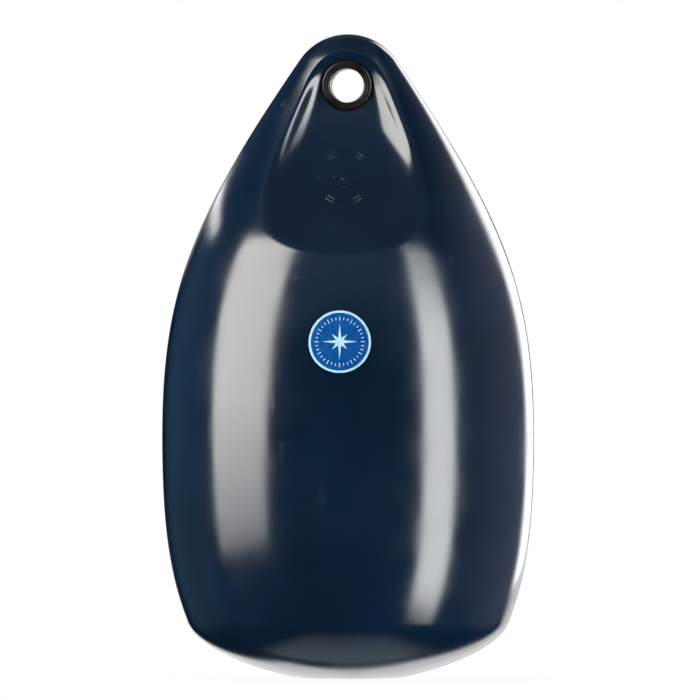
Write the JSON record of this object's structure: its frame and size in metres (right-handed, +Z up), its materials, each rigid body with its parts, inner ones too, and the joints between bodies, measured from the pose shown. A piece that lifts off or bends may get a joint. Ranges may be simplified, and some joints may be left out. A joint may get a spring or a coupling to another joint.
{
  "type": "boat fender",
  "caption": "Drop-shaped inflatable boat fender with a bushed rope eye through its scooped neck, a round label and an air valve in the base.",
  "frame": {"origin": "centre of the base, on the surface that the fender stands on", "axes": "+Z up the fender's axis towards the rope eye; -Y is the front, which carries the label; the rope eye runs along Y"},
  "size_m": [0.231, 0.231, 0.4],
  "materials": {
    "navy_vinyl": "glossy moulded vinyl",
    "black_bush": "smooth semi-gloss",
    "label_film": "printed gloss film",
    "valve_plastic": "moulded matte",
    "seal_rubber": "matte",
    "screw_plastic": "moulded satin"
  },
  "bodies": {
    "root": {"fender_skin": "navy_vinyl", "eye_bush": "black_bush", "label": "label_film", "valve_insert": "valve_plastic", "valve_sealing_ring": "seal_rubber", "valve_screw": "screw_plastic"}
  },
  "joints": []
}
